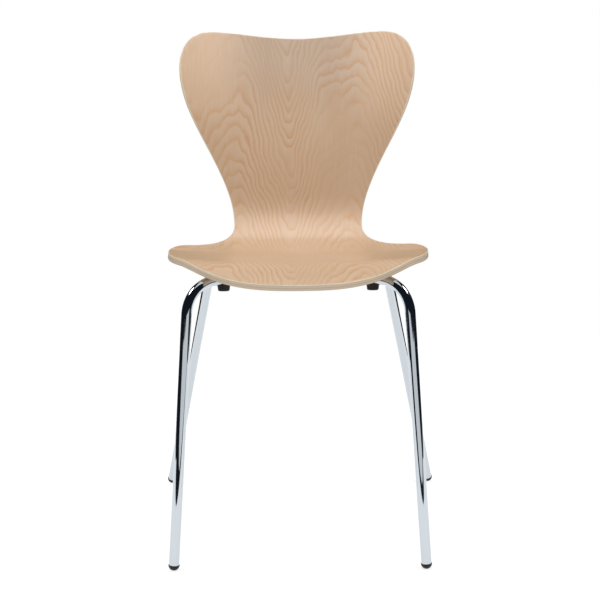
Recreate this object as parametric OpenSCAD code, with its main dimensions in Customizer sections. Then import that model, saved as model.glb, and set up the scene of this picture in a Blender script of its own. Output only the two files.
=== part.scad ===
// Stacking chair: a moulded plywood shell screwed to two bent steel tubes.
// Each tube is one pair of legs. Both tubes turn back at the hub, under the seat,
// so that seen from above they make an X.
//
// Millimetres, +Z up. The chair faces -Y. The origin is on the floor, in the middle
// of the chair's overall width and depth. Left and right are as seen from the front.

/* [Seat shell] */
// Thickness of the moulded plywood
shell_thick = 11; // [9:0.5:12]
// Height of the top of the front edge, at its middle
seat_front_z = 445; // [420:1:470]
// Angle at which the surface rises from the rolled-down front edge
front_roll_angle = 27; // [18:1:30]
// Length of the rolled front, along the surface
front_roll_length = 110; // [90:1:130]
// Angle at which the seat falls towards the back
seat_slope = 4; // [2:0.5:6]
// Angle of the back above the neck, from the horizontal
back_angle = 83; // [78:1:86]
// How much further the top of the back leans
crown_lean = 12; // [4:1:16]
// Radius of the seat's dish, from side to side
seat_dish_radius = 2300; // [1800:50:4000]
// Radius of the back's curve, from side to side
back_curve_radius = 910; // [700:10:2000]

/* [Shell outline, on the flat veneer] */
// Width of the seat at its widest
seat_width = 452; // [440:2:470]
// Distance from the front edge to the seat's widest place
seat_widest_s = 335; // [320:5:345]
// Share of its width that the seat loses towards the front, before its corners are rounded
seat_taper = 0.13; // [0:0.01:0.15]
// Distance from the front edge to the seat's rear edge
seat_rear_s = 376; // [365:1:390]
// Distance that each rear corner of the seat reaches in from the widest place
seat_corner = 36; // [25:1:45]
// Width of the waist between the seat and the back
waist_width = 230; // [200:2:260]
// Distance from the front edge to the waist
waist_s = 425; // [415:1:440]
// Width of the back at its widest
back_width = 420; // [400:2:440]
// Distance from the front edge to the back's widest place
back_widest_s = 708; // [695:1:720]
// Distance between the two highest places of the crest
crest_width = 294; // [260:2:320]
// Distance from the front edge to the highest places of the crest
crest_s = 777; // [765:1:790]
// How much lower the crest is in its middle
crest_dip = 9; // [0:1:20]

/* [Legs] */
// Outer diameter of the leg tubes
tube_d = 16; // [14:1:18]
// Wall of the leg tubes
tube_wall = 1.5; // [1:0.25:2]
// Half the distance between the front feet
front_foot_x = 195.5; // [185:0.5:205]
// Half the distance between the rear feet
rear_foot_x = 242; // [230:1:250]
// Distance between the front and the rear feet
foot_depth = 445; // [430:1:455]
// Distance from the front feet back to the front edge of the seat
seat_setback = -4; // [-10:1:10]
// Half the distance between the tops of the front legs, where arm and leg would meet
front_corner_x = 166; // [160:1:170]
// Half the distance between the tops of the rear legs, where arm and leg would meet
rear_corner_x = 152; // [146:1:158]
// Angle of the four arms of the X, from the side-to-side direction
arm_angle = 40; // [36:1:42]
// Bend radius at the top of a leg, to the middle of the tube
leg_bend_r = 50; // [42:1:54]
// Bend radius at the hub, to the middle of the tube
hub_bend_r = 32; // [28:1:36]

/* [Hub] */
// Thickness of the steel plate on top of the tubes
plate_thick = 3; // [2.5:0.5:3.5]
// Thickness of the spacers between the plate and the shell
spacer_thick = 3.5; // [3:0.5:5]
// Distance from the front edge to the hub, along the surface
hub_distance = 168; // [160:1:175]
// Distance of the left and right screws from the middle of the hub
screw_reach_x = 45; // [42:1:48]
// Distance of the front and rear screws from the middle of the hub
screw_reach_y = 42; // [40:1:44]

/* [Bumpers and glides] */
// Half the distance between the two front bumpers
front_bumper_x = 115; // [105:1:120]
// Half the distance between the two rear bumpers
rear_bumper_x = 104; // [95:1:108]
// How far a bumper reaches below its tube
bumper_drop = 8.5; // [7:0.5:10]
// Diameter of a foot glide
glide_d = 17.5; // [17:0.5:20]

/* [Hidden] */

$fn = 48;
wood = [0.84, 0.71, 0.54];
chromed = [0.80, 0.82, 0.85];
zinc = [0.70, 0.72, 0.73];
black = [0.13, 0.13, 0.14];

// ---- Shell surface -------------------------------------------------------------
// A point on the shell's upper face has two flat coordinates, as on the unbent
// veneer: x, sideways from the middle, and s, from the front edge along the middle.

neck_start = 300;       // s where the seat starts to bend up into the back
neck_length = 195;      // length of that bend
crown_start = 500;      // s where the back starts to lean further
crown_length = 300;     // length over which it does
dish_end = 290;         // s where the seat's dish starts to fade
dish_fade = 110;        // length over which it fades
back_curve_start = 460; // s where the back's curve starts
back_curve_fade = 180;  // length over which it comes in
neck_flat_radius = 16000;
rail_step = 2;          // step of the table that holds the middle line
rail_length = 800;

function smooth(t) = let (c = min(max(t, 0), 1)) c * c * (3 - 2 * c);

// Slope of the middle line at s, in degrees above the horizontal
function heading(s) =
    front_roll_angle
    - (front_roll_angle + seat_slope) * smooth(s / front_roll_length)
    + (back_angle + seat_slope) * smooth((s - neck_start) / neck_length)
    - crown_lean * smooth((s - crown_start) / crown_length);

// The middle line as rows of [s, y, z], with y measured from the front feet
rail = [
    for (i = 0, y = seat_setback, z = seat_front_z;
         i <= rail_length / rail_step;
         y = y + rail_step * cos(heading((i + 0.5) * rail_step)),
         z = z + rail_step * sin(heading((i + 0.5) * rail_step)),
         i = i + 1)
    [i * rail_step, y, z]
];
rail_y = [for (row = rail) [row[0], row[1]]];
rail_z = [for (row = rail) [row[0], row[2]]];

// Sideways curvature at s: the seat's dish, a nearly flat neck, then the back's curve
function side_curvature(s) =
    let (
        neck = smooth((s - dish_end) / dish_fade),
        back = smooth((s - back_curve_start) / back_curve_fade)
    )
    (1 - neck) / seat_dish_radius
    + neck * (1 - back) / neck_flat_radius
    + back / back_curve_radius;

// ---- Shell outline -------------------------------------------------------------
// The right half of the outline in [x, s]. A corner's power says how square it is: 2 is
// an ellipse, and more is squarer.

front_powers = [3, 4];    // of the width and of the length of the seat's front
seat_corner_power = 3;
hollow_power = 2.1;       // of the hollow between the seat's rear edge and the waist
crest_corner_power = 2.4;

function rounded(centre, reach, power, angle) =
    centre + [reach[0] * pow(cos(angle), 2 / power), reach[1] * pow(sin(angle), 2 / power)];

// The front edge and the side of the seat, from the middle at 0 degrees to the widest
// place at 90
function front_point(angle) =
    let (ahead = pow(cos(angle), 2 / front_powers[1]), aside = pow(sin(angle), 2 / front_powers[0]))
    [seat_width / 2 * (1 - seat_taper * ahead) * aside, seat_widest_s * (1 - ahead)];

function seat_corner_point(angle) =
    rounded([seat_width / 2 - seat_corner, seat_widest_s],
            [seat_corner, seat_rear_s - seat_widest_s], seat_corner_power, angle);

// The hollow is round about a point outside the shell
function hollow_point(angle) =
    let (inner_x = seat_width / 2 - seat_corner)
    rounded([inner_x, waist_s], [waist_width / 2 - inner_x, seat_rear_s - waist_s],
            hollow_power, angle);

function flank_point(t) =
    [waist_width / 2 + (back_width - waist_width) / 2 * smooth(t),
     waist_s + (back_widest_s - waist_s) * t];

function crest_corner_point(angle) =
    rounded([crest_width / 2, back_widest_s],
            [(back_width - crest_width) / 2, crest_s - back_widest_s], crest_corner_power, angle);

function crest_point(t) = [crest_width / 2 * t, crest_s - crest_dip * (1 - smooth(t))];

crest_columns = 9;
corner_columns = 7;
columns = crest_columns + corner_columns; // on each side of the middle
seat_corner_rows = 6;
hollow_rows = 8;
flank_rows = 22;
crest_corner_rows = 4;
front_spread = 1.5;                       // spaces the front edge's points evenly

front_edge = [for (k = [0:columns]) front_point(90 * pow(k / columns, front_spread))];
top_edge = [
    for (k = [0:crest_columns - 1]) crest_point(k / crest_columns),
    for (k = [0:corner_columns]) crest_corner_point(90 - 45 * k / corner_columns)
];
side_edge = [
    for (k = [0:seat_corner_rows - 1]) seat_corner_point(90 * k / seat_corner_rows),
    for (k = [0:hollow_rows - 1]) hollow_point(90 - 90 * k / hollow_rows),
    for (k = [0:flank_rows - 1]) flank_point(k / flank_rows),
    for (k = [0:crest_corner_rows]) crest_corner_point(45 * k / crest_corner_rows)
];
rows = len(side_edge) - 1;
tip = side_edge[0];
corner = side_edge[rows];

// Flat coordinates of a mesh point. Row 0 is the front edge, the last row is the top
// edge, and column +-columns is the side edge.
function patch(column, row) =
    let (
        k = abs(column),
        v = row / rows,
        width = (1 - v) * front_edge[k][0] / tip[0] + v * top_edge[k][0] / corner[0],
        inward = (tip[1] - front_edge[k][1]) / tip[1],
        s = (1 - inward) * side_edge[row][1] + inward * corner[1] * v
    )
    [sign(column) * side_edge[row][0] * width, s + pow(v, 3) * (top_edge[k][1] - corner[1])];

// ---- Shell in space ------------------------------------------------------------

function unit(v) = v / norm(v);

// Upper face, with y still measured from the front feet
function face_point(x, s) =
    let (rise = x * x / 2 * side_curvature(s), a = heading(s))
    [x, lookup(s, rail_y) - sin(a) * rise, lookup(s, rail_z) + cos(a) * rise];

function face_normal(x, s) =
    let (step = rail_step)
    unit(cross(
        face_point(x + step, s) - face_point(x - step, s),
        face_point(x, s + step) - face_point(x, s - step)
    ));

// The chair's depth runs from the front glides to the back face of the crest, and the
// origin is half way.
crest_middle = crest_s - crest_dip;
crest_rear = face_point(0, crest_middle) - shell_thick * face_normal(0, crest_middle);
front_feet_y = -(crest_rear[1] - glide_d / 2) / 2;
rear_feet_y = front_feet_y + foot_depth;
to_origin = [0, front_feet_y, 0];

// A point `depth` below the upper face
function shell_point(x, s, depth) = face_point(x, s) - depth * face_normal(x, s) + to_origin;

// ---- Hub -----------------------------------------------------------------------
// The hub's frame is parallel to the seat at the hub. Its origin is on the plane of
// the tubes' middle lines.

tube_r = tube_d / 2;
plate_top = tube_r + plate_thick;
shell_bottom = plate_top + spacer_thick;
hub_origin = shell_point(0, hub_distance, shell_thick + shell_bottom);
tube_gap = 1;                            // between the two tubes at the hub
hub_setback = hub_bend_r * (1 / cos(arm_angle) - 1);
plate_size = [112, 106];
plate_corner_r = 14;
front = -1;
rear = 1;

// y, in the hub's frame, of an arm's middle line at x
function arm_y(x, end) = end * ((tube_d + tube_gap) / 2 - hub_setback + x * tan(arm_angle));

// Direction of an arm, away from the hub, in degrees from +X in the hub's frame
function arm_direction(side, end) = end * (90 - side * (90 - arm_angle));

// A point of the hub's frame in the chair's frame
function from_hub(p) =
    hub_origin + [
        p[0],
        p[1] * cos(seat_slope) + p[2] * sin(seat_slope),
        p[2] * cos(seat_slope) - p[1] * sin(seat_slope)
    ];

module at_hub() {
    translate(hub_origin) rotate([-seat_slope, 0, 0]) children();
}

// ---- Screws --------------------------------------------------------------------

screw_names = ["left", "right", "front", "rear"];
screw_places = [
    [-screw_reach_x, 0], [screw_reach_x, 0], [0, -screw_reach_y], [0, screw_reach_y]
];
screw_d = 6;
screw_hole_d = 6.5;
head_d = 11.5;
head_height = 3.6;
hex_key_d = 4.6;
hex_key_depth = 2;
washer_d = 14;
washer_thick = 1.2;
spacer_d = 24;
cover_veneer = 2.4;  // wood left above a tee nut
barrel_d = 8;
flange_d = 18;
flange_thick = 1.2;
screw_tip = shell_bottom + shell_thick - cover_veneer - 1;
flange_top = shell_bottom + shell_thick - cover_veneer;
nut_clearance = 0.1;

// Height of the shell above the hub's plane at x, over that at the middle
function dish_rise(x) = x * x / (2 * seat_dish_radius);

// The space that a tee nut takes up, made larger by `spare`
module tee_nut_form(base, spare) {
    translate([0, 0, base]) cylinder(d = barrel_d + 2 * spare, h = flange_top - base - spare);
    translate([0, 0, flange_top - flange_thick - spare])
        cylinder(d = flange_d + 2 * spare, h = flange_thick + 2 * spare);
}

// ---- Legs ----------------------------------------------------------------------

bore_d = tube_d - 2 * tube_wall;
glide_flat = 0.6;                        // depth of the flat worn on a glide's dome
dome_centre_z = glide_d / 2 - glide_flat;
glide_collar = 0.3;                      // from the dome's middle to the tube's end
bumper_hole_d = 6;

function foot_point(x, y) = [x, y, dome_centre_z];

front_foot = foot_point(front_foot_x, front_feet_y);
rear_foot = foot_point(rear_foot_x, rear_feet_y);
front_corner = from_hub([front_corner_x, arm_y(front_corner_x, front), 0]);
rear_corner = from_hub([rear_corner_x, arm_y(rear_corner_x, rear), 0]);

function mirrored(p) = [-p[0], p[1], p[2]];

// Where a leg's tube ends, just above the dome of its glide
function tube_end(foot, leg_corner) = foot + glide_collar * unit(leg_corner - foot);

function leg_path(foot, leg_corner, end) = [
    mirrored(tube_end(foot, leg_corner)),
    mirrored(leg_corner),
    from_hub([0, arm_y(0, end), 0]),
    leg_corner,
    tube_end(foot, leg_corner)
];
bend_radii = [0, leg_bend_r, hub_bend_r, leg_bend_r, 0];
bend_thinning = 0.04;
bend_overlap = 0.6;                      // degrees that a bend runs on at each end

// The tube's section, with both faces drawn into the wall by `thinned`
module ring(thinned) {
    difference() {
        circle(d = tube_d - 2 * thinned);
        circle(d = bore_d + 2 * thinned);
    }
}

// Turns +Z to point along a direction
module point_along(direction) {
    d = unit(direction);
    rotate([0, acos(d[2]), atan2(d[1], d[0])]) children();
}

// Angle that a path turns through at point i
function turn(path, i) =
    i == 0 || i == len(path) - 1
    ? 0
    : acos(unit(path[i] - path[i - 1]) * unit(path[i + 1] - path[i]));

module straight_run(path, radii, i) {
    way = unit(path[i + 1] - path[i]);
    start = path[i] + way * radii[i] * tan(turn(path, i) / 2);
    end = path[i + 1] - way * radii[i + 1] * tan(turn(path, i + 1) / 2);
    translate(start) point_along(way) linear_extrude(norm(end - start)) ring(0);
}

// A bend is thinned a little, as a bent tube's wall is, and ends inside the walls of
// the straight runs.
module bend(path, radii, i) {
    angle = turn(path, i);
    way_in = unit(path[i] - path[i - 1]);
    way_out = unit(path[i + 1] - path[i]);
    centre = path[i] + unit(way_out - way_in) * radii[i] / cos(angle / 2);
    start = path[i] - way_in * radii[i] * tan(angle / 2);
    u = unit(start - centre);
    w = cross(u, way_in);
    multmatrix([
        [u[0], way_in[0], w[0], centre[0]],
        [u[1], way_in[1], w[1], centre[1]],
        [u[2], way_in[2], w[2], centre[2]],
        [0, 0, 0, 1]
    ])
        rotate([0, 0, -bend_overlap]) rotate_extrude(angle = angle + 2 * bend_overlap)
            translate([radii[i], 0]) ring(bend_thinning);
}

module bent_tube(path, radii) {
    for (i = [0:len(path) - 2]) straight_run(path, radii, i);
    for (i = [1:len(path) - 2]) bend(path, radii, i);
}

// ---- Sub-parts -----------------------------------------------------------------

// Mesh of the shell: the upper face's grid, then the lower face's grid
module shell_body() {
    across = 2 * columns + 1;
    count = across * (rows + 1);
    points = [
        for (depth = [0, shell_thick], row = [0:rows], column = [-columns:columns])
            let (flat = patch(column, row)) shell_point(flat[0], flat[1], depth)
    ];
    function index(column, row, below) = below * count + row * across + column;
    faces = [
        for (row = [0:rows - 1], column = [0:across - 2])
            let (
                a = index(column, row, 0),
                b = index(column + 1, row, 0),
                c = index(column + 1, row + 1, 0),
                d = index(column, row + 1, 0),
                left = column < columns
            )
            each left
                ? [[a, c, b], [a, d, c], [a + count, b + count, c + count],
                   [a + count, c + count, d + count]]
                : [[a, d, b], [b, d, c], [a + count, b + count, d + count],
                   [b + count, c + count, d + count]],
        for (column = [0:across - 2])
            let (
                a = index(column, 0, 0),
                b = index(column + 1, 0, 0),
                c = index(column, rows, 0),
                d = index(column + 1, rows, 0)
            )
            each [[a, b, b + count], [a, b + count, a + count],
                  [d, c, c + count], [d, c + count, d + count]],
        for (row = [0:rows - 1])
            let (
                a = index(0, row, 0),
                b = index(0, row + 1, 0),
                c = index(across - 1, row, 0),
                d = index(across - 1, row + 1, 0)
            )
            each [[b, a, a + count], [b, a + count, b + count],
                  [c, d, d + count], [c, d + count, c + count]]
    ];
    polyhedron(points = points, faces = faces, convexity = 6);
}

module seat_shell() {
    color(wood) difference() {
        shell_body();
        at_hub() for (place = screw_places)
            translate(place) tee_nut_form(shell_bottom - 2, nut_clearance);
    }
}

module bumper_holes(x, end) {
    at_hub() for (side = [-1, 1])
        translate([side * x, arm_y(x, end), -tube_r - 1])
            cylinder(d = bumper_hole_d, h = tube_wall + 2);
}

module front_leg_tube() {
    color(chromed) difference() {
        bent_tube(leg_path(front_foot, front_corner, front), bend_radii);
        bumper_holes(front_bumper_x, front);
    }
}

module rear_leg_tube() {
    color(chromed) difference() {
        bent_tube(leg_path(rear_foot, rear_corner, rear), bend_radii);
        bumper_holes(rear_bumper_x, rear);
    }
}

module rounded_rectangle(size, r) {
    square([size[0] - 2 * r, size[1]], center = true);
    square([size[0], size[1] - 2 * r], center = true);
    for (x = [-1, 1], y = [-1, 1])
        translate([x * (size[0] / 2 - r), y * (size[1] / 2 - r)]) circle(r);
}

module hub_plate() {
    color(zinc) at_hub() translate([0, 0, tube_r]) linear_extrude(plate_thick) difference() {
        rounded_rectangle(plate_size, plate_corner_r);
        for (place = screw_places) translate(place) circle(d = screw_hole_d);
    }
}

// One weld bead along each arm, on the inner side of the tube's bend at the hub
module hub_welds() {
    bead_start = 28;   // distance along the arm from the middle of the hub
    bead_length = 26;
    color(zinc) at_hub() for (side = [-1, 1], end = [front, rear])
        translate([0, arm_y(0, end), 0])
            rotate([0, 0, arm_direction(side, end)]) rotate([90, 0, 90])
                translate([0, 0, bead_start]) linear_extrude(bead_length) difference() {
                    inner = side * end;
                    polygon([[inner * 3, tube_r], [inner * 9, tube_r], [inner * 6.5, 4.5]]);
                    circle(d = tube_d + 0.1);
                }
}

module spacer(i) {
    x = screw_places[i][0];
    color(black) at_hub() translate([x, screw_places[i][1], plate_top]) difference() {
        cylinder(d = spacer_d, h = spacer_thick + dish_rise(x));
        translate([0, 0, -1]) cylinder(d = barrel_d, h = spacer_thick + 3);
    }
}

module washer(i) {
    color(zinc) at_hub() translate(screw_places[i]) translate([0, 0, tube_r - washer_thick])
        difference() {
            cylinder(d = washer_d, h = washer_thick);
            translate([0, 0, -1]) cylinder(d = screw_hole_d, h = washer_thick + 2);
        }
}

module screw(i) {
    head_top = tube_r - washer_thick;
    color(zinc) at_hub() translate(screw_places[i]) difference() {
        union() {
            translate([0, 0, head_top - head_height])
                cylinder(d1 = head_d - 3, d2 = head_d, h = head_height / 2);
            translate([0, 0, head_top - head_height / 2])
                cylinder(d = head_d, h = head_height / 2);
            translate([0, 0, head_top]) cylinder(d = screw_d, h = screw_tip - head_top);
        }
        translate([0, 0, head_top - head_height - 1])
            cylinder(d = hex_key_d, h = hex_key_depth + 1, $fn = 6);
    }
}

module tee_nut(i) {
    rise = dish_rise(screw_places[i][0]);
    color(zinc) at_hub() translate(screw_places[i]) difference() {
        tee_nut_form(shell_bottom + rise, 0);
        translate([0, 0, shell_bottom - 1])
            cylinder(d = screw_d + nut_clearance, h = shell_thick + 2);
    }
}

// A rubber cone that sits astride the underside of an arm, its stem in the tube
module bumper(side, end) {
    x = end == front ? front_bumper_x : rear_bumper_x;
    wrap = 11;         // how far the cone reaches up beside the tube
    bottom_r = 9;
    top_r = 11.4;
    round_r = 2.2;
    base = -tube_r - bumper_drop;
    color(black) at_hub() translate([side * x, arm_y(x, end), 0]) {
        difference() {
            union() {
                translate([0, 0, base]) cylinder(r1 = bottom_r - round_r, r2 = bottom_r, h = round_r);
                translate([0, 0, base + round_r])
                    cylinder(r1 = bottom_r, r2 = top_r, h = bumper_drop + wrap - round_r);
            }
            rotate([0, 0, arm_direction(side, end)]) rotate([0, 90, 0])
                cylinder(d = tube_d + 0.1, h = 4 * top_r, center = true);
        }
        translate([0, 0, base + 2]) cylinder(d = bumper_hole_d - 0.2, h = bumper_drop + 1);
    }
}

module glide(side, foot, leg_corner) {
    stem_length = 16;
    way = leg_corner - foot;
    color(black) mirror([side < 0 ? 1 : 0, 0, 0]) difference() {
        translate(foot) point_along(way) {
            rotate_extrude() {
                intersection() {
                    circle(d = glide_d);
                    translate([0, -glide_d]) square([glide_d, glide_d]);
                }
                square([glide_d / 2, glide_collar]);
                square([bore_d / 2 - 0.1, glide_collar + stem_length]);
            }
        }
        translate([foot[0], foot[1], -glide_d]) cube(2 * glide_d, center = true);
    }
}

seat_shell();
front_leg_tube();
rear_leg_tube();
hub_plate();
hub_welds();
for (i = [0:3]) {
    spacer(i);
    washer(i);
    screw(i);
    tee_nut(i);
}
bumper(-1, front);  // bumper_front_left
bumper(1, front);  // bumper_front_right
bumper(-1, rear);  // bumper_rear_left
bumper(1, rear);  // bumper_rear_right
glide(-1, front_foot, front_corner);  // glide_front_left
glide(1, front_foot, front_corner);  // glide_front_right
glide(-1, rear_foot, rear_corner);  // glide_rear_left
glide(1, rear_foot, rear_corner);  // glide_rear_right
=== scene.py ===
"""Looks of the stacking chair: finished plywood shell, smooth chromed tubes, fittings, studio.

Metres, in the frame of the CAD model: +Z up, the chair faces -Y, the origin is on the floor in
the middle of its width and depth. Left and right are as seen from the front.
"""

import math

import bpy
from mathutils import Matrix, Vector, geometry


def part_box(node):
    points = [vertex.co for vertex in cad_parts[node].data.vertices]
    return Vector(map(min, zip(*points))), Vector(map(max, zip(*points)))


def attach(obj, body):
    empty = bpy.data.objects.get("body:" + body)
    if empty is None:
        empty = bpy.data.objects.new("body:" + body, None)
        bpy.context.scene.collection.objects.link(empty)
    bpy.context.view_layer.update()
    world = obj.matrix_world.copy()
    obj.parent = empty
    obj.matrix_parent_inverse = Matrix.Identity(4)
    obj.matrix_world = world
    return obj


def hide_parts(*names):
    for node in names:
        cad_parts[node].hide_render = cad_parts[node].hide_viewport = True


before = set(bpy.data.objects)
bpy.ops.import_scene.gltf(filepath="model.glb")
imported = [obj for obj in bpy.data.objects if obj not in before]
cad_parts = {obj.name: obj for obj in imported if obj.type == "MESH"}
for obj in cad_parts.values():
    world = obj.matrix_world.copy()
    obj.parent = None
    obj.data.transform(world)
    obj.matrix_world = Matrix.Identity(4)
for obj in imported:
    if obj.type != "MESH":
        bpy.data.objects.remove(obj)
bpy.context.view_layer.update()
BODY = "root"

# ---- Driving dimensions, as in the CAD model ---------------------------------------------

SHELL_THICK = 0.011
SEAT_FRONT_Z = 0.445
FRONT_ROLL_ANGLE = math.radians(27)
FRONT_ROLL_LENGTH = 0.110
SEAT_SLOPE = math.radians(4)
BACK_ANGLE = math.radians(83)
CROWN_LEAN = math.radians(12)
SEAT_DISH_RADIUS = 2.300
BACK_CURVE_RADIUS = 0.910
NECK_FLAT_RADIUS = 16.0
NECK_START, NECK_LENGTH = 0.300, 0.195
CROWN_START, CROWN_LENGTH = 0.500, 0.300
DISH_END, DISH_FADE = 0.290, 0.110
BACK_CURVE_START, BACK_CURVE_FADE = 0.460, 0.180
RAIL_STEP = 0.002
RAIL_LENGTH = 0.800

TUBE_R = 0.008
PLATE_THICK = 0.003
ARM_ANGLE = math.radians(40)
LEG_BEND_R = 0.050
HUB_BEND_R = 0.032
HUB_TUBE_GAP = 0.001
FRONT_CORNER_X = 0.166
REAR_CORNER_X = 0.152
FRONT_BUMPER_X = 0.115
REAR_BUMPER_X = 0.104
BUMPER_DROP = 0.0085
GLIDE_R = 0.00875
GLIDE_FLAT = 0.0006
GLIDE_COLLAR = 0.0003

# The shell's outline on the flat veneer, as in the CAD model: x from the middle, s from the
# front edge along the middle.
SEAT_WIDTH = 0.452
SEAT_WIDEST_S = 0.335
SEAT_TAPER = 0.13
SEAT_REAR_S = 0.376
SEAT_CORNER = 0.036
WAIST_WIDTH = 0.230
WAIST_S = 0.425
BACK_WIDTH = 0.420
BACK_WIDEST_S = 0.708
CREST_WIDTH = 0.294
CREST_S = 0.777
CREST_DIP = 0.009
# How square each corner is: 2 is an ellipse, and more is squarer.
FRONT_WIDTH_POWER, FRONT_LENGTH_POWER = 3.0, 4.0
SEAT_CORNER_POWER = 3.0
HOLLOW_POWER = 2.1
CREST_CORNER_POWER = 2.4

# ---- Camera ------------------------------------------------------------------------------

CAMERA_DISTANCE = 1.842           # in front of the front feet
CAMERA_HEIGHT = 0.7245
CAMERA_SIDE = 0.0025              # to the right of the chair's middle
CAMERA_PITCH = math.radians(9.31)  # downwards
CAMERA_ROLL = math.radians(-0.40)
CAMERA_LENS = 74.88               # on the sensor below, both in mm
SENSOR_WIDTH = 36.0
VIEW_LIMIT = 50.0


def front_feet_y():
    """y of the front glides' domes; each glide's stem leans back from its dome."""
    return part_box("glide_front_left")[0][1] + GLIDE_R


def make_camera():
    data = bpy.data.cameras.new("photo_camera")
    data.lens = CAMERA_LENS
    data.sensor_width = SENSOR_WIDTH
    data.clip_end = VIEW_LIMIT
    camera = bpy.data.objects.new("photo_camera", data)
    bpy.context.scene.collection.objects.link(camera)
    place = Matrix.Translation((CAMERA_SIDE, front_feet_y() - CAMERA_DISTANCE, CAMERA_HEIGHT))
    tilt = Matrix.Rotation(math.pi / 2 - CAMERA_PITCH, 4, "X")
    camera.matrix_world = place @ tilt @ Matrix.Rotation(CAMERA_ROLL, 4, "Z")
    bpy.context.scene.camera = camera


# ---- Mesh helpers ------------------------------------------------------------------------


CREASE = math.radians(35)     # edges sharper than this aren't smoothed
LATHE_SIDES = 64


def new_object(name, vertices, faces, materials):
    mesh = bpy.data.meshes.new(name)
    mesh.from_pydata([tuple(v) for v in vertices], [], faces)
    mesh.validate()
    mesh.polygons.foreach_set("use_smooth", [True] * len(mesh.polygons))
    mesh.set_sharp_from_angle(angle=CREASE)
    for material in materials:
        mesh.materials.append(material)
    piece = bpy.data.objects.new(name, mesh)
    bpy.context.scene.collection.objects.link(piece)
    return piece


def finish_piece(piece, nodes):
    """The piece stands for these CAD nodes and rides on the chair's one body."""
    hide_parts(*nodes)
    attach(piece, BODY)


def lathe(profile):
    """Vertices and faces of a profile of (radius, z) turned about Z, closed at both ends."""
    sides = LATHE_SIDES
    vertices = []
    for radius, z in profile:
        for k in range(sides):
            turn = 2 * math.pi * k / sides
            vertices.append(Vector((radius * math.cos(turn), radius * math.sin(turn), z)))
    faces = []
    for row in range(len(profile) - 1):
        for k in range(sides):
            a, b = row * sides + k, row * sides + (k + 1) % sides
            faces.append((a, b, b + sides, a + sides))
    faces.append(tuple(reversed(range(sides))))
    faces.append(tuple(range((len(profile) - 1) * sides, len(profile) * sides)))
    return vertices, faces


# ---- Shell -------------------------------------------------------------------------------


def smooth(t):
    t = min(max(t, 0.0), 1.0)
    return t * t * (3 - 2 * t)


def heading(s):
    """Slope of the shell's middle line at s."""
    return (
        FRONT_ROLL_ANGLE
        - (FRONT_ROLL_ANGLE + SEAT_SLOPE) * smooth(s / FRONT_ROLL_LENGTH)
        + (BACK_ANGLE + SEAT_SLOPE) * smooth((s - NECK_START) / NECK_LENGTH)
        - CROWN_LEAN * smooth((s - CROWN_START) / CROWN_LENGTH)
    )


def side_curvature(s):
    neck = smooth((s - DISH_END) / DISH_FADE)
    back = smooth((s - BACK_CURVE_START) / BACK_CURVE_FADE)
    return (
        (1 - neck) / SEAT_DISH_RADIUS
        + neck * (1 - back) / NECK_FLAT_RADIUS
        + back / BACK_CURVE_RADIUS
    )


def make_rail():
    """The shell's middle line as (y, z) every RAIL_STEP, from the CAD shell's front edge."""
    y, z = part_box("seat_shell")[0][1], SEAT_FRONT_Z
    rail = []
    for i in range(round(RAIL_LENGTH / RAIL_STEP) + 1):
        rail.append((y, z))
        slope = heading((i + 0.5) * RAIL_STEP)
        y += RAIL_STEP * math.cos(slope)
        z += RAIL_STEP * math.sin(slope)
    return rail


RAIL = make_rail()


def rail_point(s):
    at = min(max(s / RAIL_STEP, 0.0), len(RAIL) - 1.001)
    i = int(at)
    (y0, z0), (y1, z1) = RAIL[i], RAIL[i + 1]
    return y0 + (y1 - y0) * (at - i), z0 + (z1 - z0) * (at - i)


def face_point(x, s):
    rise = x * x / 2 * side_curvature(s)
    slope = heading(s)
    y, z = rail_point(s)
    return Vector((x, y - math.sin(slope) * rise, z + math.cos(slope) * rise))


def face_normal(x, s):
    across = face_point(x + RAIL_STEP, s) - face_point(x - RAIL_STEP, s)
    along = face_point(x, s + RAIL_STEP) - face_point(x, s - RAIL_STEP)
    return across.cross(along).normalized()


def shell_point(x, s, depth):
    return face_point(x, s) - depth * face_normal(x, s)


CURVE_STEPS = 400          # fine points of each curve, before the outline is spaced evenly


def quarter(power, other_power=None):
    """Shares of a rounded corner's two sides, from (1, 0) round to (0, 1)."""
    turns = [math.pi / 2 * k / CURVE_STEPS for k in range(CURVE_STEPS + 1)]
    second = other_power or power
    return [(math.cos(a) ** (2 / power), math.sin(a) ** (2 / second)) for a in turns]


def between(a, b, share):
    return a + (b - a) * share


def half_outline():
    """The right half, from the middle of the front edge round to the middle of the crest."""
    half_seat, half_waist = SEAT_WIDTH / 2, WAIST_WIDTH / 2
    half_back, half_crest = BACK_WIDTH / 2, CREST_WIDTH / 2
    inner_x = half_seat - SEAT_CORNER
    steps = [k / CURVE_STEPS for k in range(1, CURVE_STEPS + 1)]
    points = []
    for ahead, aside in quarter(FRONT_LENGTH_POWER, FRONT_WIDTH_POWER):
        x = half_seat * (1 - SEAT_TAPER * ahead) * aside
        points.append((x, SEAT_WIDEST_S * (1 - ahead)))
    for aside, behind in quarter(SEAT_CORNER_POWER)[1:]:
        x = between(inner_x, half_seat, aside)
        points.append((x, between(SEAT_WIDEST_S, SEAT_REAR_S, behind)))
    for ahead, inward in quarter(HOLLOW_POWER)[1:]:
        x = between(inner_x, half_waist, inward)
        points.append((x, between(WAIST_S, SEAT_REAR_S, ahead)))
    for t in steps:
        x = between(half_waist, half_back, smooth(t))
        points.append((x, between(WAIST_S, BACK_WIDEST_S, t)))
    for aside, above in quarter(CREST_CORNER_POWER)[1:]:
        x = between(half_crest, half_back, aside)
        points.append((x, between(BACK_WIDEST_S, CREST_S, above)))
    for t in steps:
        points.append((half_crest * (1 - t), CREST_S - CREST_DIP * smooth(t)))
    return [Vector(p) for p in points]


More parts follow.
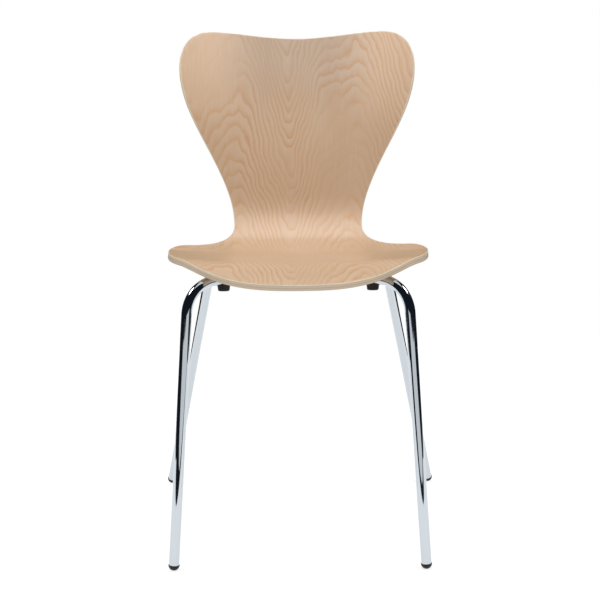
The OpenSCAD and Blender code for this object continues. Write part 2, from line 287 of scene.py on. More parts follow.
def shell_outline(step):
    """The whole outline, anticlockwise from the middle of the front edge, evenly spaced."""
    half = half_outline()
    fine = half + [Vector((-p.x, p.y)) for p in reversed(half[1:-1])]
    length = [0.0]
    for a, b in zip(fine, fine[1:] + fine[:1]):
        length.append(length[-1] + (b - a).length)
    count = round(length[-1] / step)
    outline, k = [], 0
    for i in range(count):
        target = length[-1] * i / count
        while length[k + 1] < target:
            k += 1
        share = (target - length[k]) / (length[k + 1] - length[k])
        outline.append(fine[k].lerp(fine[(k + 1) % len(fine)], share))
    return outline


def outward(outline, i):
    """Unit normal of the outline at point i, away from the shell."""
    along = outline[(i + 1) % len(outline)] - outline[i - 1]
    return Vector((along.y, -along.x)).normalized()


EDGE_ROUND = 0.0016       # radius sanded on both edges of the plywood
OUTLINE_STEP = 0.0030
GRID_STEP = 0.0050
GRID_ROW_HEIGHT = 0.866   # of a row of equal-sided triangles, as a share of GRID_STEP
GRID_ROWS, GRID_COLUMNS = range(-2, 190), range(-48, 49)   # more than the shell needs
GRID_MARGIN = 0.4 * GRID_STEP
MERGE_DISTANCE = 1e-7
ROUND_STEPS = 5


def edge_levels():
    """(inset, depth) of each ring of the shell's edge, from the upper face to the lower."""
    turns = [math.pi / 2 * k / ROUND_STEPS for k in range(ROUND_STEPS + 1)]
    upper = [(EDGE_ROUND * (1 - math.sin(a)), EDGE_ROUND * (1 - math.cos(a))) for a in turns]
    lower = [(inset, SHELL_THICK - depth) for inset, depth in reversed(upper)]
    return upper + lower


def flat_mesh(ring):
    """Triangles that fill the flat outline `ring`, with a regular grid of points inside."""
    inner = [
        Vector((
            column * GRID_STEP + (row % 2) * GRID_STEP / 2,
            row * GRID_STEP * GRID_ROW_HEIGHT,
        ))
        for row in GRID_ROWS
        for column in GRID_COLUMNS
    ]
    edges = [(i, (i + 1) % len(ring)) for i in range(len(ring))]
    keep = [p for p in inner if inside(ring, p)]
    triangles_inside = 1
    points, _, faces, sources, _, _ = geometry.delaunay_2d_cdt(
        ring + keep, edges, [], triangles_inside, MERGE_DISTANCE
    )
    place = {source[0]: k for k, source in enumerate(sources) if source}
    return points, faces, [place[i] for i in range(len(ring))]


def inside(ring, point):
    """Is the point within the ring and clear of its edge?"""
    crossings = 0
    for i, b in enumerate(ring):
        a = ring[i - 1]
        if (point - a).length < GRID_MARGIN:
            return False
        if (a.y > point.y) != (b.y > point.y):
            x = a.x + (b.x - a.x) * (point.y - a.y) / (b.y - a.y)
            crossings += x > point.x
    return crossings % 2 == 1


def make_shell(face_material, edge_material):
    outline = shell_outline(OUTLINE_STEP)
    normals = [outward(outline, i) for i in range(len(outline))]
    levels = edge_levels()
    ring = [p - n * EDGE_ROUND for p, n in zip(outline, normals)]
    flat, triangles, ring_place = flat_mesh(ring)
    count = len(flat)
    vertices = [shell_point(p.x, p.y, 0.0) for p in flat]
    vertices += [shell_point(p.x, p.y, SHELL_THICK) for p in flat]
    flat_uv = [(p.x, p.y) for p in flat] * 2
    rings = [ring_place]
    for inset, depth in levels[1:-1]:
        rings.append(list(range(len(vertices), len(vertices) + len(outline))))
        for p, n in zip(outline, normals):
            q = p - n * inset
            vertices.append(shell_point(q.x, q.y, depth))
    rings.append([count + i for i in ring_place])

    faces = [tuple(t) for t in triangles]
    faces += [tuple(count + i for i in reversed(t)) for t in triangles]
    uvs = [[flat_uv[i] for i in f] for f in faces]
    face_count = len(faces)
    for level in range(len(levels) - 1):
        top, low = rings[level], rings[level + 1]
        top_depth, low_depth = levels[level][1], levels[level + 1][1]
        for i in range(len(outline)):
            j = (i + 1) % len(outline)
            faces.append((top[i], low[i], low[j], top[j]))
            u0, u1 = i * OUTLINE_STEP, (i + 1) * OUTLINE_STEP
            uvs.append([(u0, top_depth), (u0, low_depth), (u1, low_depth), (u1, top_depth)])

    piece = new_object("plywood_shell", vertices, faces, [face_material, edge_material])
    layer = piece.data.uv_layers.new(name="veneer")
    for polygon, face_uv in zip(piece.data.polygons, uvs):
        polygon.material_index = 0 if polygon.index < face_count else 1
        for corner, uv in zip(polygon.loop_indices, face_uv):
            layer.data[corner].uv = uv
    finish_piece(piece, ["seat_shell"])
    return piece


# ---- Tubes and fittings ------------------------------------------------------------------


def hub_matrix():
    """The hub's frame: parallel to the seat there, origin between the tubes' middle lines."""
    low, high = (Vector(c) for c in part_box("hub_plate"))
    tilt = Matrix.Rotation(-SEAT_SLOPE, 4, "X")
    to_tubes = Matrix.Translation((0, 0, -(TUBE_R + PLATE_THICK / 2)))
    return Matrix.Translation((low + high) / 2) @ tilt @ to_tubes


HUB = hub_matrix()
FRONT, REAR = -1, 1
LEFT, RIGHT = -1, 1
HUB_SETBACK = HUB_BEND_R * (1 / math.cos(ARM_ANGLE) - 1)
BEND_STEP = math.radians(2.5)
TUBE_SIDES = 72


def place_name(end, side):
    return f"{'front' if end == FRONT else 'rear'}_{'left' if side == LEFT else 'right'}"


def arm_point(x, end):
    """A point on the middle line of an arm, x from the middle of the chair."""
    y = end * (TUBE_R + HUB_TUBE_GAP / 2 - HUB_SETBACK + abs(x) * math.tan(ARM_ANGLE))
    return HUB @ Vector((x, y, 0))


def foot_point(end, side):
    """Middle of a glide's dome, from the CAD glide's box."""
    name = f"glide_{place_name(end, side)}"
    low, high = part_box(name)
    x = high[0] - GLIDE_R if side == RIGHT else low[0] + GLIDE_R
    y = high[1] - GLIDE_R if end == REAR else low[1] + GLIDE_R
    return Vector((x, y, GLIDE_R - GLIDE_FLAT))


def corner_point(end, side):
    return arm_point(side * (FRONT_CORNER_X if end == FRONT else REAR_CORNER_X), end)


def rounded_path(points, radii):
    """Middle line of a bent tube: the corners replaced by arcs, with closely set points."""
    path = [points[0]]
    for i in range(1, len(points) - 1):
        way_in = (points[i] - points[i - 1]).normalized()
        way_out = (points[i + 1] - points[i]).normalized()
        turn = way_in.angle(way_out)
        centre = points[i] + (way_out - way_in).normalized() * radii[i] / math.cos(turn / 2)
        start = points[i] - way_in * radii[i] * math.tan(turn / 2)
        axis = way_in.cross(way_out).normalized()
        steps = math.ceil(turn / BEND_STEP)
        for k in range(steps + 1):
            spin = Matrix.Rotation(turn * k / steps, 3, axis)
            path.append(centre + spin @ (start - centre))
    path.append(points[-1])
    return path


def sweep(path, radius):
    """Vertices and faces of a round tube along a path, with its ends closed."""
    sides = TUBE_SIDES
    ways = [(b - a).normalized() for a, b in zip(path, path[1:])]
    tangents = [ways[0]] + [(a + b).normalized() for a, b in zip(ways, ways[1:])] + [ways[-1]]
    across = tangents[0].orthogonal().normalized()
    vertices, faces = [], []
    for k, (point, tangent) in enumerate(zip(path, tangents)):
        across = (across - tangent * across.dot(tangent)).normalized()
        other = tangent.cross(across)
        for j in range(sides):
            turn = 2 * math.pi * j / sides
            vertices.append(point + radius * (across * math.cos(turn) + other * math.sin(turn)))
        if k:
            for j in range(sides):
                a, b = (k - 1) * sides + j, (k - 1) * sides + (j + 1) % sides
                faces.append((a, b, b + sides, a + sides))
    faces.append(tuple(reversed(range(sides))))
    faces.append(tuple(range(len(vertices) - sides, len(vertices))))
    return vertices, faces


def make_leg_tube(end, chrome):
    name = "front_leg_tube" if end == FRONT else "rear_leg_tube"
    ends = []
    for side in (LEFT, RIGHT):
        foot, corner = foot_point(end, side), corner_point(end, side)
        ends.append(foot + GLIDE_COLLAR * (corner - foot).normalized())
    points = [
        ends[0],
        corner_point(end, LEFT),
        arm_point(0, end),
        corner_point(end, RIGHT),
        ends[1],
    ]
    radii = [0, LEG_BEND_R, HUB_BEND_R, LEG_BEND_R, 0]
    piece = new_object("smooth_" + name, *sweep(rounded_path(points, radii), TUBE_R), [chrome])
    finish_piece(piece, [name])


CORNER_STEPS = 6


def round_corner(r0, z0, r1, z1):
    """Quarter round in a lathe profile from (r0, z0), at its foot, to (r1, z1), on its side."""
    arc = []
    for k in range(CORNER_STEPS + 1):
        a = math.pi / 2 * k / CORNER_STEPS
        arc.append((r0 + (r1 - r0) * math.sin(a), z1 - (z1 - z0) * math.cos(a)))
    return arc


BUMPER_WRAP = 0.011
BUMPER_BOTTOM_R, BUMPER_TOP_R = 0.0090, 0.0114
BUMPER_ROUND = 0.0022
BUMPER_DIMPLE_R, BUMPER_DIMPLE_DEPTH, BUMPER_DIMPLE_EDGE = 0.0022, 0.0004, 0.0004
BUMPER_TOP_BEVEL = 0.0005
BUMPER_CORE_R = 0.004      # where the hidden upper face is closed


def make_bumper(end, side, rubber):
    """A rubber cone astride the underside of an arm."""
    base = -TUBE_R - BUMPER_DROP
    top = -TUBE_R + BUMPER_WRAP
    profile = [(BUMPER_DIMPLE_R, base + BUMPER_DIMPLE_DEPTH)]
    profile += [(BUMPER_DIMPLE_R + BUMPER_DIMPLE_EDGE, base)]
    profile += round_corner(
        BUMPER_BOTTOM_R - BUMPER_ROUND, base, BUMPER_BOTTOM_R, base + BUMPER_ROUND
    )
    profile += [(BUMPER_TOP_R, top - BUMPER_TOP_BEVEL), (BUMPER_TOP_R - BUMPER_TOP_BEVEL, top)]
    profile += [(BUMPER_CORE_R, top)]
    x = side * (FRONT_BUMPER_X if end == FRONT else REAR_BUMPER_X)
    vertices, faces = lathe(profile)
    place = Matrix.Translation(arm_point(x, end)) @ HUB.to_3x3().to_4x4()
    name = f"bumper_{place_name(end, side)}"
    piece = new_object("rubber_" + name, [place @ v for v in vertices], faces, [rubber])
    finish_piece(piece, [name])


DOME_STEPS = 16
DOME_TIP_R = 0.0004
GLIDE_RIM = 0.0002
STEM_R = TUBE_R - 0.002
STEM_TIP_R, STEM_TIP_Z = 0.001, 0.016
STEM_SHOULDER_Z = 0.015


def make_glide(end, side, plastic):
    """A plastic plug in the end of a leg, with a domed foot worn flat where it stands."""
    profile = [(DOME_TIP_R, -GLIDE_R)]
    for k in range(1, DOME_STEPS + 1):
        a = math.pi / 2 * k / DOME_STEPS
        profile.append((GLIDE_R * math.sin(a), -GLIDE_R * math.cos(a)))
    profile += [(GLIDE_R, GLIDE_COLLAR - GLIDE_RIM), (GLIDE_R - GLIDE_RIM, GLIDE_COLLAR)]
    profile += [(STEM_R, GLIDE_COLLAR), (STEM_R, STEM_SHOULDER_Z), (STEM_TIP_R, STEM_TIP_Z)]
    vertices, faces = lathe(profile)
    foot, corner = foot_point(end, side), corner_point(end, side)
    lean = (corner - foot).to_track_quat("Z", "Y").to_matrix().to_4x4()
    place = Matrix.Translation(foot) @ lean
    vertices = [place @ v for v in vertices]
    for v in vertices:
        v.z = max(v.z, 0.0)
    name = f"glide_{place_name(end, side)}"
    piece = new_object("moulded_" + name, vertices, faces, [plastic])
    finish_piece(piece, [name])


# ---- Materials ---------------------------------------------------------------------------


class Shader:
    """A node material under construction. Inputs may be sockets or plain values."""

    def __init__(self, name):
        self.material = bpy.data.materials.new(name)
        self.material.use_nodes = True
        self.tree = self.material.node_tree
        self.surface = self.tree.nodes["Principled BSDF"]

    @classmethod
    def on_tree(cls, tree):
        """The same helpers for a tree that isn't a material's."""
        shader = cls.__new__(cls)
        shader.tree = tree
        return shader

    def node(self, kind, inputs, **settings):
        made = self.tree.nodes.new(kind)
        for key, value in settings.items():
            setattr(made, key, value)
        for key, value in inputs.items():
            self.connect(value, made.inputs[key])
        return made.outputs[0]

    def connect(self, value, socket):
        if isinstance(value, bpy.types.NodeSocket):
            self.tree.links.new(value, socket)
        else:
            socket.default_value = value

    def math(self, operation, a, b=0.0, c=0.0):
        return self.node("ShaderNodeMath", {0: a, 1: b, 2: c}, operation=operation)

    def vector(self, x, y, z=0.0):
        return self.node("ShaderNodeCombineXYZ", {0: x, 1: y, 2: z})

    def noise(self, vector, scale=1.0, detail=2.0, roughness=0.5):
        return self.node(
            "ShaderNodeTexNoise",
            {"Vector": vector, "Scale": scale, "Detail": detail, "Roughness": roughness},
        )

    def grain(self, across, along, across_scale, along_scale, detail=2.0, roughness=0.5):
        """Noise with its own scale in each of two directions."""
        place = self.vector(
            self.math("MULTIPLY", across, across_scale), self.math("MULTIPLY", along, along_scale)
        )
        return self.noise(place, 1.0, detail, roughness)

    def ramp(self, value, stops):
        """A colour ramp. Each stop is a place and a colour, or a plain number for a grey."""
        made = self.tree.nodes.new("ShaderNodeValToRGB")
        elements = made.color_ramp.elements
        while len(elements) < len(stops):
            elements.new(0.5)
        for element, (place, colour) in zip(elements, stops):
            element.position = place
            element.color = colour if isinstance(colour, tuple) else grey(colour)
        self.connect(value, made.inputs[0])
        return made.outputs[0]

    def mix(self, share, a, b, blend="MIX"):
        made = self.tree.nodes.new("ShaderNodeMix")
        made.data_type = "RGBA"
        made.blend_type = blend
        for socket, value in ((0, share), (6, a), (7, b)):   # the RGBA ones of its sockets
            self.connect(value, made.inputs[socket])
        return made.outputs[2]

    def lay(self, colour, layers):
        """The colour with layers over it: each is a mask, its share at full strength, a tone."""
        for mask, share, tone in layers:
            colour = self.mix(self.math("MULTIPLY", mask, share), colour, tone)
        return colour

    def bump(self, height, strength, distance):
        return self.node(
            "ShaderNodeBump", {"Height": height, "Strength": strength, "Distance": distance}
        )

    def set(self, **inputs):
        for key, value in inputs.items():
            self.connect(value, self.surface.inputs[key.replace("_", " ")])


def rgb(red, green, blue):
    return (red, green, blue, 1.0)


def grey(level):
    return rgb(level, level, level)


def veneer_coordinates(shader):
    """x across the grain and s along it, in metres."""
    uv = shader.tree.nodes.new("ShaderNodeUVMap")
    uv.uv_map = "veneer"
    made = shader.tree.nodes.new("ShaderNodeSeparateXYZ")
    shader.tree.links.new(uv.outputs[0], made.inputs[0])
    return made.outputs[0], made.outputs[1]


# The veneer's figure. Across the sheet the cut climbs and falls through the growth rings. Each
# flank is where it starts and ends in x, and how many rings it gains: where two flanks fall
# towards each other the lines make nested Vs, and where they rise, nested arches.
FLANKS = {
    "left edge up to left arch": (-0.215, -0.098, 3.5),
    "left arch down to the Vs": (-0.112, -0.004, -9.5),
    "Vs up to the plain field": (-0.022, 0.050, 6.5),
    "plain field up to right arch": (0.030, 0.110, 2.0),
    "right arch down to right edge": (0.098, 0.215, -10.0),
}
RING_LENGTH = 0.030       # along the grain, from one line to the next

# Places where the figure fades out: the middle in x and s, then the half width and length.
PLAIN_PATCHES = {
    "right field": (0.072, 0.555, 0.034, 0.110),
    "left lobe": (-0.160, 0.715, 0.060, 0.070),
    "seat": (0.000, 0.260, 0.300, 0.110),
}
# Faintest out to the first and full from the second: squared distances, 1 at the half sizes.
PATCH_EDGE = (0.5, 1.8)
PATCH_REMAINS = 0.15      # of the figure in the middle of a patch

# Painted shade in the middle of the back's upper part, which leans back into more light; it fades
# out to the sides and downwards.
CREST_SHADE_HALF_WIDTH = (0.050, 0.170)
CREST_SHADE_S = (0.560, 0.770)


def rings_across(shader, x):
    """Growth rings passed at x, as the sum of the flanks."""
    total = 0.0
    for start, end, rings in FLANKS.values():
        flank = shader.node(
            "ShaderNodeMapRange",
            {"Value": x, "From Min": start, "From Max": end, "To Min": 0.0, "To Max": rings},
            interpolation_type="SMOOTHSTEP",
        )
        total = shader.math("ADD", flank, total)
    return total


def centred(shader, value, size):
    """A noise value of about 0.5, made into one of about 0 with the given size."""
    return shader.math("MULTIPLY", shader.math("SUBTRACT", value, 0.5), size)


def eased(shader, value, start, end):
    """0 up to `start`, 1 from `end` on, and a smooth rise between."""
    return shader.node(
        "ShaderNodeMapRange",
        {"Value": value, "From Min": start, "From Max": end, "To Min": 0.0, "To Max": 1.0},
        interpolation_type="SMOOTHSTEP",
    )


def figure_strength(shader, x, s):
    """1 where the figure is full, and near 0 inside the plain patches."""
    strength = 1.0
    for middle_x, middle_s, half_width, half_length in PLAIN_PATCHES.values():
        across = shader.math("MULTIPLY", shader.math("SUBTRACT", x, middle_x), 1 / half_width)
        along = shader.math("MULTIPLY", shader.math("SUBTRACT", s, middle_s), 1 / half_length)
        squares = shader.math("MULTIPLY", along, along)
        squares = shader.math("MULTIPLY_ADD", across, across, squares)
        outside = eased(shader, squares, *PATCH_EDGE)
        outside = shader.math("MULTIPLY_ADD", outside, 1 - PATCH_REMAINS, PATCH_REMAINS)
        strength = shader.math("MULTIPLY", outside, strength)
    return strength


def painted_crest_shade(shader, x, s):
    """Share of the painted shade: 1 in the middle of the back's upper part, and 0 on the sides
    and the seat.
    """
    aside = eased(shader, shader.math("ABSOLUTE", x), *CREST_SHADE_HALF_WIDTH)
    middle = shader.math("SUBTRACT", 1.0, aside)
    return shader.math("MULTIPLY", middle, eased(shader, s, *CREST_SHADE_S))


# Noise in the veneer: how wide its features are across the grain, and how long along it.
DRIFT_SIZE = (0.160, 0.420)
SWAY_SIZE = (0.060, 0.120)
WOBBLE_SIZE = (0.012, 0.030)
FADE_SIZE = (0.050, 0.160)
FIBRE_SIZE = (0.0011, 0.045)
CLOUD_SIZE = (0.090, 0.220)
PALE_FIBRE_SHEEN_SIZE = (0.0045, 0.055)
PORE_SIZE = (0.0007, 0.0060)
DRIFT = 0.034             # how far the figure drifts sideways
SWAY, WOBBLE = 4.2, 0.70  # how far the lines stray, in rings
SPARE_RINGS = 100.0       # keeps the count of rings above zero

# How dark and how pale the wood is from one line to the next.
LATE_WOOD = [(0.0, 0.30), (0.10, 0.05), (0.50, 0.0), (0.76, 0.35), (0.90, 1.0), (1.0, 0.30)]
EARLY_WOOD = [(0.0, 0.0), (0.14, 1.0), (0.36, 0.5), (0.60, 0.0)]

# The veneer's colours. Those laid over the clouds have their share at full strength first.
CLOUDS = (rgb(0.590, 0.395, 0.245), rgb(0.630, 0.440, 0.290))
# Pale streaks along the grain: paler fibres, with a painted sheen on them.
PALE_FIBRE_SHEEN = (0.30, rgb(0.680, 0.525, 0.390))
BANDS = (0.36, rgb(0.700, 0.550, 0.420))
LINES = (0.70, rgb(0.560, 0.270, 0.095))
FIBRES = (0.22, rgb(0.510, 0.330, 0.195))
PORES = (0.16, rgb(0.360, 0.220, 0.120))
# The tone multiplied in to paint shade on the middle of the back's upper part.
CREST_SHADE_TONE = rgb(0.66, 0.66, 0.67)


def birch_face():
    """Clear-lacquered birch veneer with a cathedral figure, fine fibres and pores, pale streaks
    with a painted sheen, and painted shade on the back's upper middle.
    """
    shader = Shader("birch_veneer")
    x, s = veneer_coordinates(shader)

    def grain_noise(size, detail=2.0, roughness=0.5):
        width, length = size
        return shader.grain(x, s, 1 / width, 1 / length, detail, roughness)

    drift = centred(shader, grain_noise(DRIFT_SIZE, 1.0), DRIFT)
    rings = rings_across(shader, shader.math("ADD", x, drift))
    rings = shader.math("MULTIPLY_ADD", s, -1 / RING_LENGTH, rings)
    rings = shader.math("ADD", rings, centred(shader, grain_noise(SWAY_SIZE), SWAY))
    rings = shader.math("ADD", rings, centred(shader, grain_noise(WOBBLE_SIZE, 3.0), WOBBLE))
    phase = shader.math("FRACT", shader.math("ADD", rings, SPARE_RINGS))
    late_wood = shader.ramp(phase, LATE_WOOD)
    fade = shader.ramp(grain_noise(FADE_SIZE, 1.0), [(0.33, 0.30), (0.62, 1.0)])
    strength = shader.math("MULTIPLY", fade, figure_strength(shader, x, s))
    lines = shader.math("MULTIPLY", late_wood, strength)
    bands = shader.math("MULTIPLY", shader.ramp(phase, EARLY_WOOD), strength)

    fibres = grain_noise(FIBRE_SIZE, 3.0, 0.6)
    clouds = shader.ramp(grain_noise(CLOUD_SIZE), [(0.3, 0.0), (0.7, 1.0)])
    # Pale streaks along the grain, partly paler fibres and partly painted sheen.
    pale_fibre_sheen = shader.ramp(grain_noise(PALE_FIBRE_SHEEN_SIZE, 3.0, 0.6), [(0.50, 0.0), (0.72, 1.0)])
    pores = shader.ramp(grain_noise(PORE_SIZE, 1.0), [(0.66, 0.0), (0.74, 1.0)])

    layers = [
        (pale_fibre_sheen, *PALE_FIBRE_SHEEN), (bands, *BANDS), (lines, *LINES), (fibres, *FIBRES), (pores, *PORES)
    ]
    colour = shader.lay(shader.mix(clouds, *CLOUDS), layers)
    # Painted shade: the middle of the back's upper part is darkened here.
    colour = shader.mix(painted_crest_shade(shader, x, s), colour, CREST_SHADE_TONE, "MULTIPLY")
    roughness = shader.math("MULTIPLY_ADD", fibres, 0.10, 0.40)
    relief = shader.math("MULTIPLY_ADD", fibres, 0.6, shader.math("MULTIPLY", lines, -0.3))
    shader.set(Base_Color=colour, Roughness=roughness, Normal=shader.bump(relief, 0.12, 0.0004))
    shader.set(Coat_Weight=0.40, Coat_Roughness=0.25, Coat_IOR=1.5, Specular_IOR_Level=0.30)
    return shader.material


# The shell's edge, from the upper face at 0 to the lower one at 1. Its palest tones, at the top,
# are a painted highlight on the upper rounding; towards the lower face it darkens.
EDGE_TONES_AND_ARRIS_HIGHLIGHT = [
    (0.00, rgb(0.780, 0.660, 0.500)),
    (0.12, rgb(0.760, 0.640, 0.480)),
    (0.20, rgb(0.660, 0.550, 0.410)),
    (0.44, rgb(0.700, 0.580, 0.430)),
    (0.50, rgb(0.330, 0.230, 0.150)),
    (0.56, rgb(0.700, 0.580, 0.430)),
    (0.86, rgb(0.600, 0.480, 0.350)),
    (1.00, rgb(0.340, 0.230, 0.140)),
]
PLIES = 9
PLY_WANDER = 0.0004       # how far the layers stray up and down

# Colours laid over those of the edge, each with its share at full strength.
END_GRAIN = (0.30, rgb(0.420, 0.310, 0.210))
GLUE = (0.45, rgb(0.220, 0.150, 0.095))
EDGE_FIBRE = (0.25, rgb(0.700, 0.560, 0.400))
EDGE_SPECKLE = (0.16, rgb(0.340, 0.240, 0.150))


def plywood_edge():
    """The glued layers of veneer seen on the shell's edge, alternately long and end grain, with a
    painted highlight along the upper rounding.
    """
    shader = Shader("plywood_edge")
    along, depth = veneer_coordinates(shader)
    wander = shader.noise(shader.vector(shader.math("MULTIPLY", along, 18.0), 0.0), 1.0, 2.0)
    level = shader.math("ADD", depth, centred(shader, wander, PLY_WANDER))
    share = shader.math("MULTIPLY", level, 1 / SHELL_THICK)
    # The ramp's pale top is a painted highlight on the upper rounding.
    tone = shader.ramp(share, EDGE_TONES_AND_ARRIS_HIGHLIGHT)
    ply = shader.math("MULTIPLY", share, float(PLIES))
    pair = shader.math("FRACT", shader.math("MULTIPLY", ply, 0.5))
    end_grain = shader.math("GREATER_THAN", pair, 0.5)
    from_glue = shader.math("ABSOLUTE", centred(shader, shader.math("FRACT", ply), 1.0))
    glue = shader.ramp(from_glue, [(0.42, 0.0), (0.49, 1.0)])
    fibre = shader.grain(along, depth, 90.0, 2500.0, 3.0, 0.6)
    speckle = shader.grain(along, depth, 1800.0, 900.0)
    layers = [
        (end_grain, *END_GRAIN), (glue, *GLUE), (fibre, *EDGE_FIBRE), (speckle, *EDGE_SPECKLE)
    ]
    colour = shader.lay(tone, layers)
    shader.set(Base_Color=colour, Roughness=0.5, Normal=shader.bump(speckle, 0.25, 0.0003))
    shader.set(Coat_Weight=0.15, Coat_Roughness=0.3)
    return shader.material


def object_coordinates(shader):
    return shader.tree.nodes.new("ShaderNodeTexCoord").outputs["Object"]


def polished_chrome():
    """Bright plating with a faint haze and ripple."""
    shader = Shader("polished_chrome")
    place = object_coordinates(shader)
    haze = shader.noise(place, 45.0, 4.0, 0.6)
    ripple = shader.noise(place, 60.0, 1.0)
    roughness = shader.ramp(haze, [(0.35, 0.025), (0.75, 0.075)])
    shader.set(Base_Color=rgb(0.590, 0.640, 0.680), Metallic=1.0, Roughness=roughness)
    shader.set(Normal=shader.bump(ripple, 0.02, 0.0005))
    return shader.material


BRUSHED_SCALE = (900, 60, 60)   # finest along X


def plated_steel(name, tint):
    """Dull plated steel, brushed along one way."""
    shader = Shader(name)
    place = object_coordinates(shader)
    stretched = shader.node("ShaderNodeMapping", {"Vector": place, "Scale": BRUSHED_SCALE})
    brushed = shader.noise(stretched, 1.0, 3.0)
    cloud = shader.noise(place, 90.0, 3.0)
    colour = shader.mix(cloud, tint, tuple(0.8 * c for c in tint[:3]) + (1.0,))
    roughness = shader.math("MULTIPLY_ADD", brushed, 0.25, 0.22)
    shader.set(Base_Color=colour, Metallic=1.0, Roughness=roughness)
    shader.set(Normal=shader.bump(brushed, 0.15, 0.0002))
    return shader.material


def black_rubber():
    """Matt rubber with a little dust."""
    shader = Shader("black_rubber")
    place = object_coordinates(shader)
    grain = shader.noise(place, 2600.0, 3.0, 0.6)
    dust = shader.ramp(shader.noise(place, 120.0, 4.0), [(0.45, 0.0), (0.80, 1.0)])
    colour = shader.lay(rgb(0.010, 0.010, 0.012), [(dust, 0.5, rgb(0.032, 0.032, 0.035))])
    roughness = shader.math("MULTIPLY_ADD", grain, 0.2, 0.45)
    shader.set(Base_Color=colour, Roughness=roughness, Normal=shader.bump(grain, 0.25, 0.0002))
    shader.set(Specular_IOR_Level=0.3)
    return shader.material


def glide_plastic():
    """Smooth black plastic with a few scuffs."""
    shader = Shader("glide_plastic")
    place = object_coordinates(shader)
    grain = shader.noise(place, 1500.0, 2.0)
    scuff = shader.ramp(shader.noise(place, 260.0, 5.0, 0.7), [(0.50, 0.0), (0.75, 1.0)])
    colour = shader.lay(rgb(0.010, 0.010, 0.012), [(scuff, 0.4, rgb(0.045, 0.044, 0.043))])
    roughness = shader.math("MULTIPLY_ADD", scuff, 0.25, 0.38)
    shader.set(Base_Color=colour, Roughness=roughness, Normal=shader.bump(grain, 0.1, 0.0002))
    shader.set(Specular_IOR_Level=0.25)
    return shader.material


def paint_node(name, material):
    """Gives a CAD node that stays as it is its material, on every slot."""
    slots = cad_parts[name].material_slots
    for slot in slots:
        slot.material = material
    if not slots:
        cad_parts[name].data.materials.append(material)


# ---- Studio ------------------------------------------------------------------------------

# The chair stands on a white platform in a dark room. In front of the platform, past a dark
# gap, lies a pale patch of floor that only the reflections show.
PLATFORM_HALF_WIDTH = 1.2
PLATFORM_FRONT, PLATFORM_BACK = -0.7, 1.6
FAN_GAP = 0.2                       # dark, between the platform and the pale floor
FAN_LEFT, FAN_RIGHT = 0.0, 1.2      # where the pale floor's near edge starts and ends
FAN_SPREAD = math.radians(45)       # how far each side turns outwards
FAN_LENGTH = 4.0
# How much light each floor returns, and how much it gives by itself.
PLATFORM_ALBEDO, PLATFORM_GLOW = 0.35, 0.75
FAN_ALBEDO, FAN_GLOW = 0.02, 0.80

# The world's colour to the camera, to diffuse light and to reflections.
BACKDROP, FILL, DARK_ROOM = grey(1.0), grey(0.70), rgb(0.010, 0.012, 0.018)
WARM = (1.0, 0.66, 0.34)   # the tan of a room behind the chair

# Each light: its place, the point it faces, its width and height, its watts, and its tint
# where it isn't white.
ROOM_BOXES = {
    "left_box": ((-1.40, -0.10, 2.00), (0, -0.1, 0.45), (0.7, 0.6), 11),
    "right_box": ((1.40, -0.10, 2.00), (0, -0.1, 0.45), (0.7, 0.6), 11),
    "top_box": ((0, -0.35, 2.30), (0, 0.05, 0.45), (1.4, 1.0), 4),
}
GLOSS_CARDS = {
    "left_card": ((-1.05, -1.35, 2.05), (0, 0.1, 0.65), (0.7, 0.9), 6),
    "right_card": ((1.05, -1.35, 2.05), (0, 0.1, 0.65), (0.7, 0.9), 6),
    "low_card": ((0, -1.75, 1.85), (0, 0.1, 0.50), (0.55, 1.0), 2),
    "high_card": ((0, -0.65, 2.30), (0, 0.05, 0.45), (0.55, 2.2), 21),
    "back_card": ((0, 2.00, 1.00), (0, 0, 0.45), (2.6, 0.8), 3, WARM),
}


def platform_outline():
    x = PLATFORM_HALF_WIDTH
    return [(-x, PLATFORM_FRONT), (x, PLATFORM_FRONT), (x, PLATFORM_BACK), (-x, PLATFORM_BACK)]


def fan_outline():
    near = PLATFORM_FRONT - FAN_GAP
    far = near - FAN_LENGTH
    wider = FAN_LENGTH * math.tan(FAN_SPREAD)
    return [
        (FAN_LEFT - wider, far),
        (FAN_RIGHT + wider, far),
        (FAN_RIGHT, near),
        (FAN_LEFT, near),
    ]


def floor_piece(name, outline, material):
    vertices = [(x, y, 0.0) for x, y in outline]
    return new_object(name, vertices, [tuple(range(len(outline)))], [material])


def lit_card(name, albedo, glow):
    """A matt white surface with a light of its own, as translucent white acrylic has."""
    shader = Shader(name)
    place = object_coordinates(shader)
    shade = grey(0.98 * albedo)
    tone = shader.mix(shader.noise(place, 3.0, 2.0), grey(albedo), shade)
    shader.set(Base_Color=tone, Roughness=0.9, Specular_IOR_Level=0.0)
    shader.set(Emission_Color=grey(1.0), Emission_Strength=glow)
    return shader.material


def studio_world():
    """White to the camera, an even fill for diffuse light, a dark room for reflections."""
    world = bpy.data.worlds.new("studio")
    world.use_nodes = True
    shader = Shader.on_tree(world.node_tree)
    path = shader.tree.nodes.new("ShaderNodeLightPath").outputs
    seen = shader.mix(path["Is Glossy Ray"], FILL, DARK_ROOM)
    seen = shader.mix(path["Is Camera Ray"], seen, BACKDROP)
    shader.connect(seen, shader.tree.nodes["Background"].inputs[0])
    return world


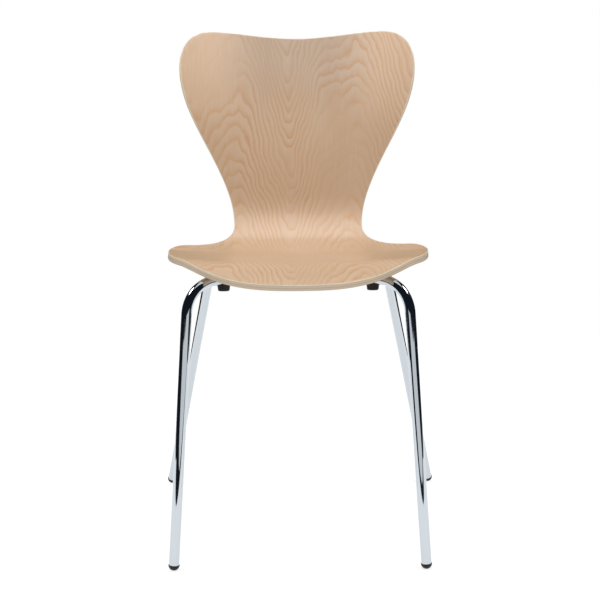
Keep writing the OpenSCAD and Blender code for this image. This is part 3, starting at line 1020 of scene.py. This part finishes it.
def make_studio():
    white = lit_card("platform_white", PLATFORM_ALBEDO, PLATFORM_GLOW)
    platform = floor_piece("white_platform", platform_outline(), white)
    pale = floor_piece("pale_floor", fan_outline(), lit_card("floor_pale", FAN_ALBEDO, FAN_GLOW))
    pale.visible_camera = False
    pale.visible_diffuse = False

    scene = bpy.context.scene
    scene.view_settings.view_transform = "Standard"
    scene.world = studio_world()
    for name, settings in ROOM_BOXES.items():
        soft_box(name, *settings)


def make_gloss_cards(shell):
    """Cards that give the lacquer its sheen. They light only the shell, and only its gloss."""
    receivers = bpy.data.collections.new("lacquered_pieces")
    receivers.objects.link(shell)
    for name, settings in GLOSS_CARDS.items():
        card = soft_box(name, *settings)
        card.visible_camera = False
        card.visible_diffuse = False
        card.light_linking.receiver_collection = receivers


def soft_box(name, place, target, size, watts, tint=(1, 1, 1)):
    data = bpy.data.lights.new(name, "AREA")
    data.shape = "RECTANGLE"
    data.size, data.size_y = size
    data.energy = watts
    data.color = tint
    light = bpy.data.objects.new(name, data)
    light.location = place
    light.rotation_euler = (Vector(target) - Vector(place)).to_track_quat("-Z", "Y").to_euler()
    bpy.context.scene.collection.objects.link(light)
    return light


# ---- The chair ---------------------------------------------------------------------------


def make_chair():
    """Dresses every node of the frame, and returns the shell, which the gloss cards light."""
    chrome = polished_chrome()
    rubber = black_rubber()
    plastic = glide_plastic()
    zinc = plated_steel("zinc_plate", rgb(0.56, 0.57, 0.58))
    weld = plated_steel("weld_bead", rgb(0.40, 0.39, 0.38))
    shell = make_shell(birch_face(), plywood_edge())
    for end in (FRONT, REAR):
        make_leg_tube(end, chrome)
        for side in (LEFT, RIGHT):
            make_bumper(end, side, rubber)
            make_glide(end, side, plastic)
    paint_node("hub_plate", zinc)
    paint_node("hub_welds", weld)
    for place in ("left", "right", "front", "rear"):
        paint_node(f"spacer_{place}", rubber)
        for kind in ("washer", "screw", "tee_nut"):
            paint_node(f"{kind}_{place}", zinc)
    return shell


make_camera()
make_studio()
make_gloss_cards(make_chair())
